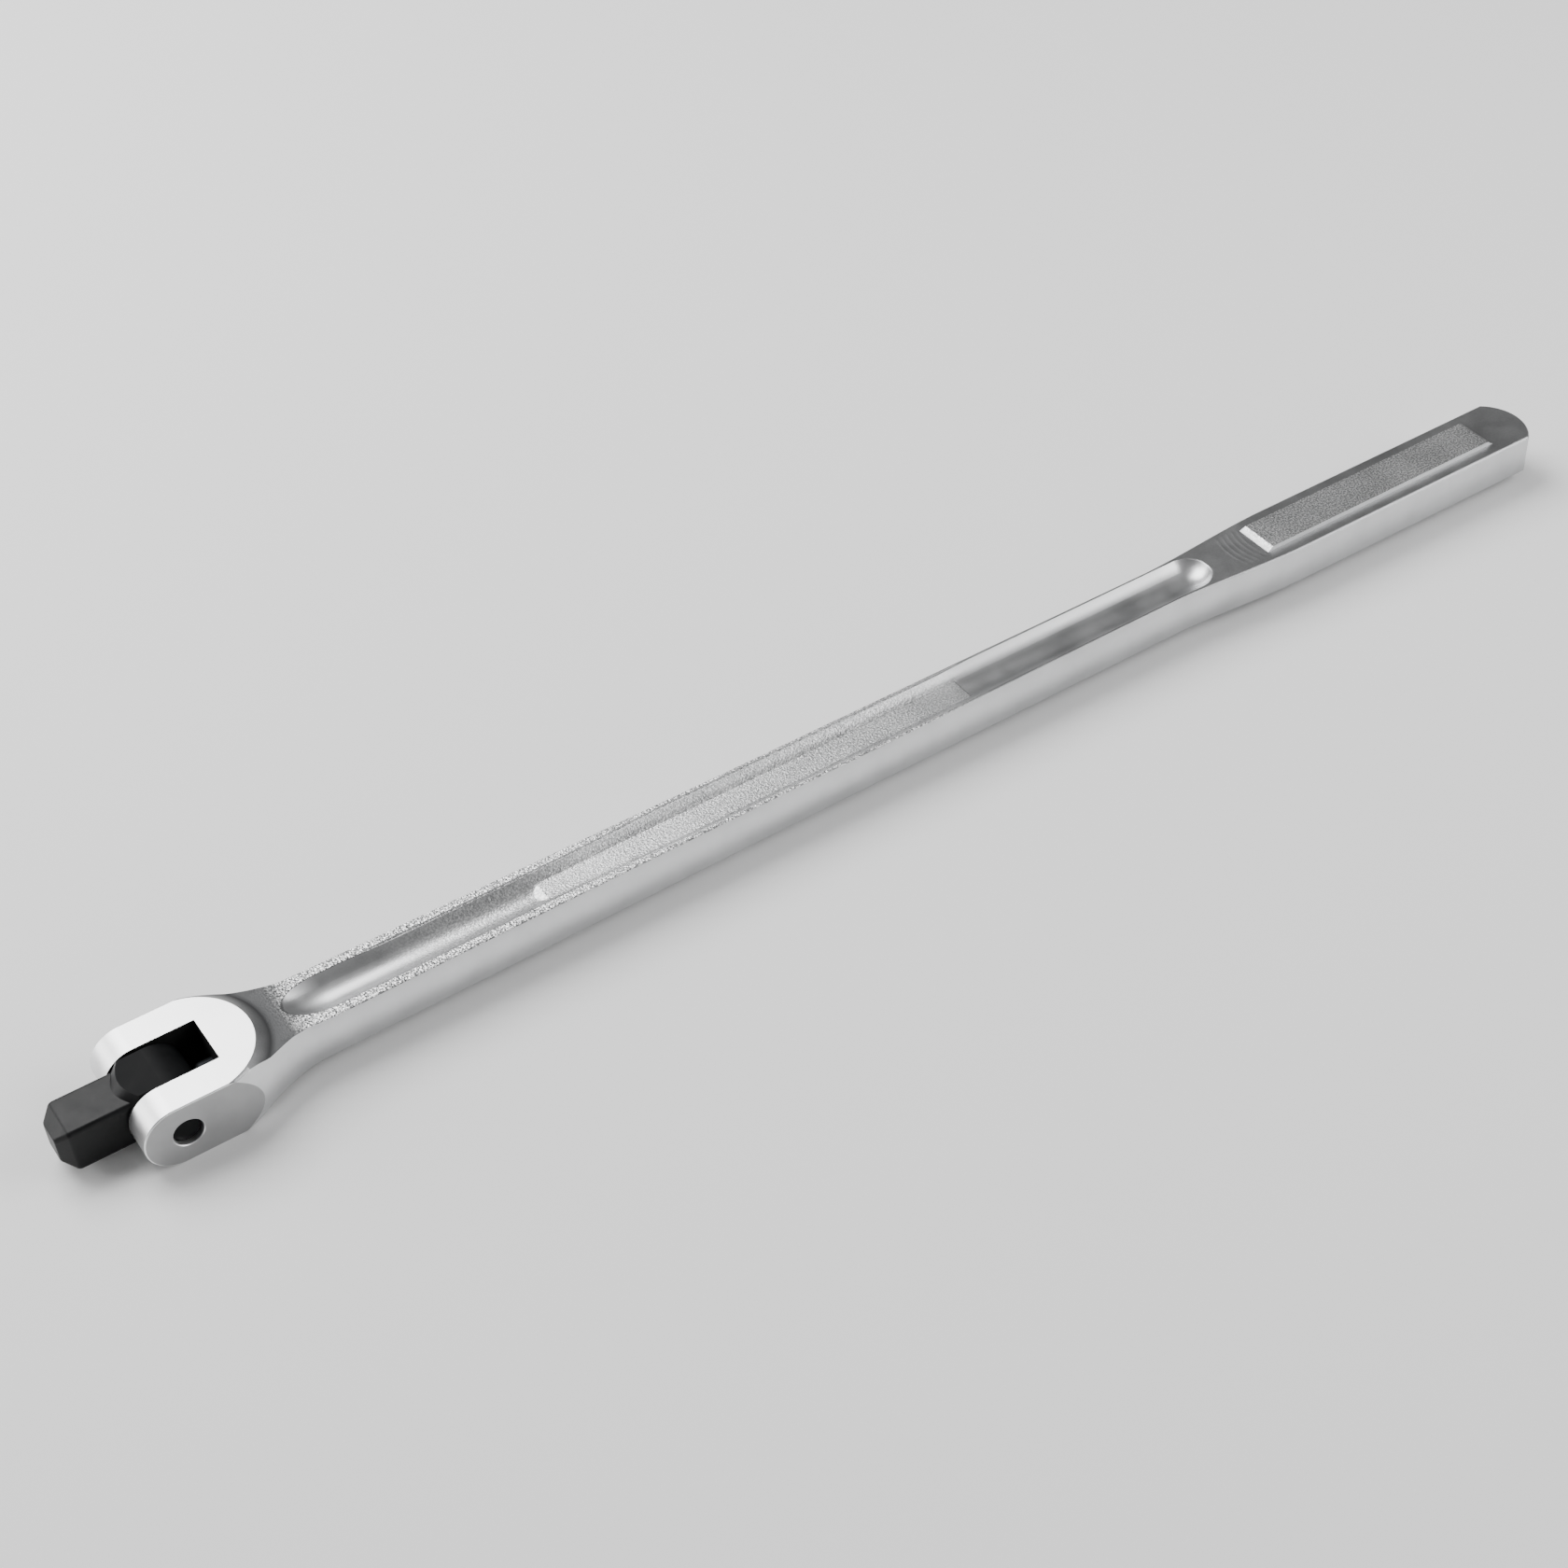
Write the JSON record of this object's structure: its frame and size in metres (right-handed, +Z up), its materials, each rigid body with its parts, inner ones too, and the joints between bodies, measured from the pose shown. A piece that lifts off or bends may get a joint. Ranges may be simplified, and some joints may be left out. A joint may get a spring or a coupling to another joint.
{
  "type": "breaker bar",
  "caption": "Long steel bar with a swivelling half-inch square drive head in a forked end, a channelled shaft and a flat grip with a raised pad.",
  "frame": {"origin": "under the middle of the tool's length and width, on the plane the fork's underside rests on", "axes": "+X along the bar from the drive square to the grip, +Y along the hinge pin, +Z up through the bar's face"},
  "size_m": [0.4572, 0.032, 0.0176],
  "materials": {
    "satin_chrome": "satin chrome on forged steel, grainy where it isn't ground",
    "black_oxide": "black oxide, semi-matte",
    "bright_steel": "bright hardened steel"
  },
  "bodies": {
    "handle": {"forged_handle": "satin_chrome", "hinge_pin": "black_oxide", "head_detent_spring": "bright_steel"},
    "head": {"drive_tang": "black_oxide", "socket_ball_spring": "bright_steel"},
    "detent_plunger": {"head_detent_plunger": "bright_steel"},
    "socket_ball": {"socket_retaining_ball": "bright_steel"}
  },
  "joints": [
    {"name": "head_swing", "type": "hinge", "parent": "handle", "child": "head", "pos_m": [-0.2014, 0, 0.0088], "axis": [0, 1, 0], "range_deg": [-100, 100]},
    {"name": "head_detent_press", "type": "slide", "parent": "handle", "child": "detent_plunger", "axis": [1, 0, 0], "range_m": [0, 0.0008], "stiffness_N_per_m": 2000, "springref_m": -0.002, "deforming": ["head_detent_spring"]},
    {"name": "socket_ball_press", "type": "slide", "parent": "head", "child": "socket_ball", "axis": [0, 0, 1], "range_m": [0, 0.0009], "stiffness_N_per_m": 1500, "springref_m": -0.001, "deforming": ["socket_ball_spring"]}
  ]
}
